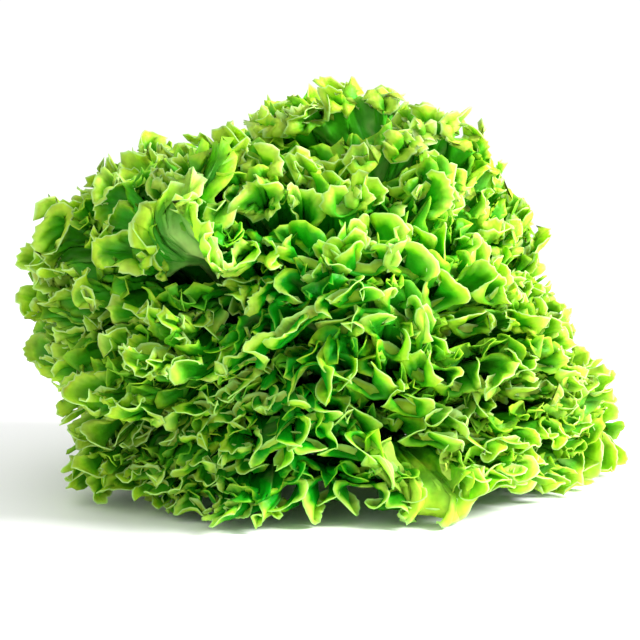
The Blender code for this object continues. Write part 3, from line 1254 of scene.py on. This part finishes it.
@dataclass
class Blade:
    """One leaf of the head, as a fine closed blade."""

    form: LeafForm
    thick: float = 0.40 * MM
    rib_thick: float = 2.4 * MM
    rib_half: float = 4.5 * MM
    rib_top: float = 0.8
    rib_places: float = 0.6
    rib_fade: tuple = (0.15, 0.95)
    fan_gap: float = radians(2.3)
    fan_narrowing: float = 1.1
    fan_lines: tuple = (0.60, 0.40)
    fan_fade: tuple = (0.86, 0.98)
    inset_unit: float = 0.050
    place_start: float = 2.0

    @property
    def node(self) -> str:
        """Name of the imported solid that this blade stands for."""
        return f"leaf_{self.form.index + 1:02d}"

    def build(self) -> bpy.types.Object:
        """Make both layers of the blade and join them.

        Returns:
            The finished piece.
        """
        layers = [self._layer(fold) for fold in Fold]
        bpy.ops.object.select_all(action="DESELECT")
        for layer in layers:
            layer.select_set(True)
        blade = layers[0]
        bpy.context.view_layer.objects.active = blade
        bpy.ops.object.join()
        blade.name = f"blade_{self.form.index + 1:02d}"
        return blade

    def dress(self, blade: bpy.types.Object, skin: bpy.types.Material) -> None:
        """Give the blade its skin, hang it on the root and hide the solid that it stands for.

        Args:
            blade: The finished piece.
            skin: Material of its age.
        """
        blade.data.materials.clear()
        blade.data.materials.append(skin)
        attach(blade, "root")
        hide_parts(self.node)
        LeafAge.of_opening(self.form.opening).value

    def _layer(self, fold: Fold) -> bpy.types.Object:
        """Make one layer: a flat net, lifted onto its form and given a thickness.

        Args:
            fold: Layer of the margin.

        Returns:
            The closed layer.
        """
        plan = PLANS[fold]
        layer = self._flat_net(plan)
        flat = self._coordinates(layer.data)
        column = flat[:, 0]
        wave = self.form.even_waves(column, fold)
        heights = plan.heights()
        height = np.interp(flat[:, 1], np.arange(len(heights)), heights)
        lifted = self.form.fine_points(column, wave, height, fold)
        layer.data.vertices.foreach_set("co", lifted.astype(np.float32).ravel())
        rib = self._rib(wave, height) * (1 if fold is Fold.OUTER else 0)
        self._mark(layer.data, wave, height, rib, fold)
        self._thicken(layer, rib)
        return layer

    def _mark(self, mesh: bpy.types.Mesh, wave: np.ndarray, height: np.ndarray,
              rib: np.ndarray, fold: Fold) -> None:
        """Keep on the mesh what the skin reads.

        Args:
            mesh: Mesh of the layer.
            wave: Wave number of each point.
            height: Height of each point.
            rib: How much of each point is midrib.
            fold: Layer of the margin.
        """
        # Painted shade: the inner layer is coloured as if it lay further in from the margin, a darker green
        # that stands in for the shade in the pockets under the lips.
        inset = self._inset(wave, height) + FOLDS[fold].pocket_shade_inset
        inset = inset * (1 - self.form.paler(self._coordinates(mesh)))
        self._store(mesh, "rib_share", np.maximum(rib, self._fan(wave, height)))
        self._store(mesh, "inset", inset)
        self._store(mesh, "place", self.form.place_of(wave) + self.place_start)
        self._store(mesh, "shade", np.full_like(wave, Own.SHADE.of_leaf(self.form.index)))

    def _flat_net(self, plan: RowPlan) -> bpy.types.Object:
        """Make a flat net, x in waves and y in rows, finer towards the margin.

        Args:
            plan: Rows of the layer.

        Returns:
            The net.
        """
        columns = self.form.waves * plan.base_columns
        last = len(plan.rows) - 1
        bpy.ops.object.select_all(action="DESELECT")
        bpy.ops.mesh.primitive_grid_add(x_subdivisions=columns, y_subdivisions=last, size=1)
        net = bpy.context.active_object
        flat = self._coordinates(net.data)
        flat[:, 0] = np.round((flat[:, 0] + 0.5) * columns) / plan.base_columns
        flat[:, 1] = np.round((flat[:, 1] + 0.5) * last)
        net.data.vertices.foreach_set("co", flat.astype(np.float32).ravel())
        for row, (_, wanted) in enumerate(plan.rows):
            cuts = wanted // plan.base_columns - 1
            if cuts:
                self._split_row(net, row, cuts)
        bpy.ops.object.mode_set(mode="EDIT")
        bpy.ops.mesh.select_all(action="SELECT")
        bpy.ops.mesh.quads_convert_to_tris(quad_method="BEAUTY", ngon_method="BEAUTY")
        bpy.ops.object.mode_set(mode="OBJECT")
        return net

    def _split_row(self, net: bpy.types.Object, row: int, cuts: int) -> None:
        """Split the edges that lie along one row of the net.

        Args:
            net: Flat net.
            row: Number of the row.
            cuts: How many points to put in each edge.
        """
        mesh = net.data
        on_row = np.abs(self._coordinates(mesh)[:, 1] - row) < 1e-3
        ends = np.empty(len(mesh.edges) * 2, np.int32)
        mesh.edges.foreach_get("vertices", ends)
        bpy.ops.object.mode_set(mode="EDIT")
        bpy.ops.mesh.select_mode(type="EDGE")
        bpy.ops.mesh.select_all(action="DESELECT")
        bpy.ops.object.mode_set(mode="OBJECT")
        mesh.edges.foreach_set("select", on_row[ends.reshape(-1, 2)].all(axis=1))
        bpy.ops.object.mode_set(mode="EDIT")
        bpy.ops.mesh.subdivide(number_cuts=cuts, ngon=True)
        bpy.ops.object.mode_set(mode="OBJECT")

    def _rib(self, wave: np.ndarray, height: np.ndarray) -> np.ndarray:
        """Tell how much of each point is midrib.

        Args:
            wave: Wave number of each point.
            height: Height of each point.

        Returns:
            Shares, 1 on the middle of the rib.
        """
        low = np.minimum(height, self.rib_top)
        middle = self.form.points(np.full_like(wave, self.form.waves / 2), low)
        away = np.linalg.norm(self.form.points(wave, low) - middle, axis=-1)
        share = 1 - smooth(away, 0, 2 * self.rib_half)
        near = np.abs(self.form.place_of(wave)) < self.rib_places
        return np.where(near, share, 0) * (1 - smooth(height, *self.rib_fade))

    def _fan(self, wave: np.ndarray, height: np.ndarray) -> np.ndarray:
        """Tell where a lobe shows the pale ribs that fan out over its back.

        Args:
            wave: Wave number of each point.
            height: Height of each point.

        Returns:
            Shares, 1 on a pale rib.
        """
        lobe = self.form.lobe
        if lobe is None or not lobe.ribbed:
            return np.zeros_like(wave)
        offset, _ = self.form.outline(self.form.place_of(wave))
        across = turn_between(self.form.azimuth + offset - lobe.azimuth)
        middle, swing = self.fan_lines
        lines = middle + swing * np.cos(2 * pi * across / self.fan_gap)
        share = lobe.share(lobe.azimuth + self.fan_narrowing * across)
        return share * lines * (1 - smooth(height, *self.fan_fade))

    def _inset(self, wave: np.ndarray, height: np.ndarray) -> np.ndarray:
        """Measure roughly how far each point is from the margin, in the inset unit."""
        _, reach = self.form.outline(self.form.place_of(wave))
        return np.clip((1 - height) * reach * self.form.head.radius / self.inset_unit, 0, 1)

    def _thicken(self, layer: bpy.types.Object, rib: np.ndarray) -> None:
        """Turn the single sheet into a closed one, thicker along the rib.

        Args:
            layer: The sheet.
            rib: How much of each point is midrib.
        """
        group = layer.vertex_groups.new(name="rib")
        for index in np.nonzero(rib > LEAST_SHARE)[0]:
            group.add([int(index)], float(rib[index]), "REPLACE")
        bpy.context.view_layer.objects.active = layer
        thick = layer.modifiers.new("thickness", "SOLIDIFY")
        thick.offset = 0
        thick.thickness = self.thick
        if rib.max() > 0:
            thick.thickness = self.rib_thick
            thick.vertex_group = "rib"
            thick.thickness_vertex_group = self.thick / self.rib_thick
        bpy.ops.object.modifier_apply(modifier=thick.name)
        layer.data.shade_smooth()

    @staticmethod
    def _coordinates(mesh: bpy.types.Mesh) -> np.ndarray:
        """Read a mesh's points.

        Args:
            mesh: Mesh to read.

        Returns:
            Rows of x, y and z.
        """
        flat = np.empty(len(mesh.vertices) * 3, np.float32)
        mesh.vertices.foreach_get("co", flat)
        return flat.reshape(-1, 3).astype(float)

    @staticmethod
    def _store(mesh: bpy.types.Mesh, name: str, values: np.ndarray) -> None:
        """Keep one number for each point under a name that the skin reads."""
        layer = mesh.attributes.new(name, "FLOAT", "POINT")
        layer.data.foreach_set("value", values.astype(np.float32))


@dataclass(frozen=True)
class StemFinish:
    """Skin of the stem: pale flesh, browner on the cut end."""

    flesh: tuple = (0.62, 0.66, 0.36)
    cut: tuple = (0.42, 0.27, 0.13)
    cut_height: float = 0.004
    roughness: float = 0.5
    grain_scale: float = 300
    grain_strength: float = 0.4
    grain_height: float = 0.8 * MM

    def material(self) -> bpy.types.Material:
        """Build the node material.

        Returns:
            The stem's material.
        """
        skin = Surface("stem_flesh")
        parts = skin.add("ShaderNodeSeparateXYZ", {"Vector": skin.spot})
        height = skin.limits(parts.outputs["Z"], 0.0, self.cut_height, 0.0, 1.0)
        skin.join(skin.shader, "Base Color", skin.mix(height, (*self.cut, 1), (*self.flesh, 1)))
        skin.join(skin.shader, "Roughness", self.roughness)
        skin.bump(skin.noise(self.grain_scale), self.grain_strength, self.grain_height)
        return skin.made


@dataclass
class Stem:
    """The stem, which keeps the shape of its solid."""

    node: str = "stem"
    finish: StemFinish = StemFinish()

    def dress(self) -> bpy.types.Object:
        """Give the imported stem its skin.

        Returns:
            The stem.
        """
        stem = bpy.data.objects[self.node]
        stem.data.materials.clear()
        stem.data.materials.append(self.finish.material())
        return stem


@dataclass
class Studio:
    """Pale floor, soft light and the camera."""

    frame_width: float = 0.299
    lens: float = 135.0
    sensor: float = 36.0
    elevation: float = radians(7.5)
    target: tuple = (-0.0133, 0.0, 0.0750)
    floor_size: float = 6.0
    floor_tone: float = 0.96
    floor_roughness: float = 0.5
    world_strength: float = 1.06
    key_place: tuple = (1.05, -0.30, 0.75)
    key_aim: tuple = (0.0, 0.0, 0.08)
    key_size: float = 0.50
    key_power: float = 39.0

    def build(self) -> None:
        """Set up floor, world, light and camera."""
        self._floor()
        self._world()
        self._key_light()
        self._camera()

    def _floor(self) -> None:
        """Lay the pale floor."""
        bpy.ops.object.select_all(action="DESELECT")
        bpy.ops.mesh.primitive_plane_add(size=self.floor_size)
        floor = bpy.context.active_object
        floor.name = "floor"
        pale = bpy.data.materials.new("pale_floor")
        pale.use_nodes = True
        shader = pale.node_tree.nodes["Principled BSDF"]
        tone = self.floor_tone
        shader.inputs["Base Color"].default_value = (tone, tone, tone, 1)
        shader.inputs["Roughness"].default_value = self.floor_roughness
        floor.data.materials.append(pale)

    def _world(self) -> None:
        """Light the surroundings evenly."""
        world = bpy.data.worlds.new("surroundings")
        bpy.context.scene.world = world
        world.use_nodes = True
        shader = world.node_tree.nodes["Background"]
        shader.inputs["Color"].default_value = (1, 1, 1, 1)
        shader.inputs["Strength"].default_value = self.world_strength

    def _key_light(self) -> None:
        """Hang one soft square light at the right that faces the head."""
        lamp = bpy.data.lights.new("key_light", "AREA")
        lamp.size = self.key_size
        lamp.energy = self.key_power
        holder = bpy.data.objects.new("key_light", lamp)
        bpy.context.scene.collection.objects.link(holder)
        holder.location = self.key_place
        facing = Vector(self.key_aim) - Vector(self.key_place)
        holder.rotation_euler = facing.to_track_quat("-Z", "Y").to_euler()

    def _camera(self) -> None:
        """Set the camera at the photograph's angle."""
        lens = bpy.data.cameras.new("camera")
        lens.lens = self.lens
        lens.sensor_width = self.sensor
        camera = bpy.data.objects.new("camera", lens)
        bpy.context.scene.collection.objects.link(camera)
        back = Vector((0, -cos(self.elevation), sin(self.elevation)))
        distance = self.frame_width * self.lens / self.sensor
        camera.location = Vector(self.target) + back * distance
        camera.rotation_euler = (-back).to_track_quat("-Z", "Y").to_euler()
        bpy.context.scene.camera = camera
        bpy.context.scene.view_settings.view_transform = "Standard"


def main() -> None:
    """Build every leaf, dress the stem and set up the studio."""
    logging.basicConfig(level=logging.INFO, format="%(name)s: %(message)s")
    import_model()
    head, frill, relief = HeadForm(), FrillForm(), ReliefForm()
    skins = {age: finish.material() for age, finish in FINISHES.items()}
    for index, opening in enumerate(head.openings()):
        leaf = Blade(LeafForm(index, head, frill, relief))
        blade = leaf.build()
        leaf.dress(blade, skins[LeafAge.of_opening(opening)])
        LOG.info("%s: %d faces", blade.name, len(blade.data.polygons))
    stem = Stem().dress()
    LOG.info("%s: %d faces", stem.name, len(stem.data.polygons))
    Studio().build()


if __name__ == "__main__":
    main()
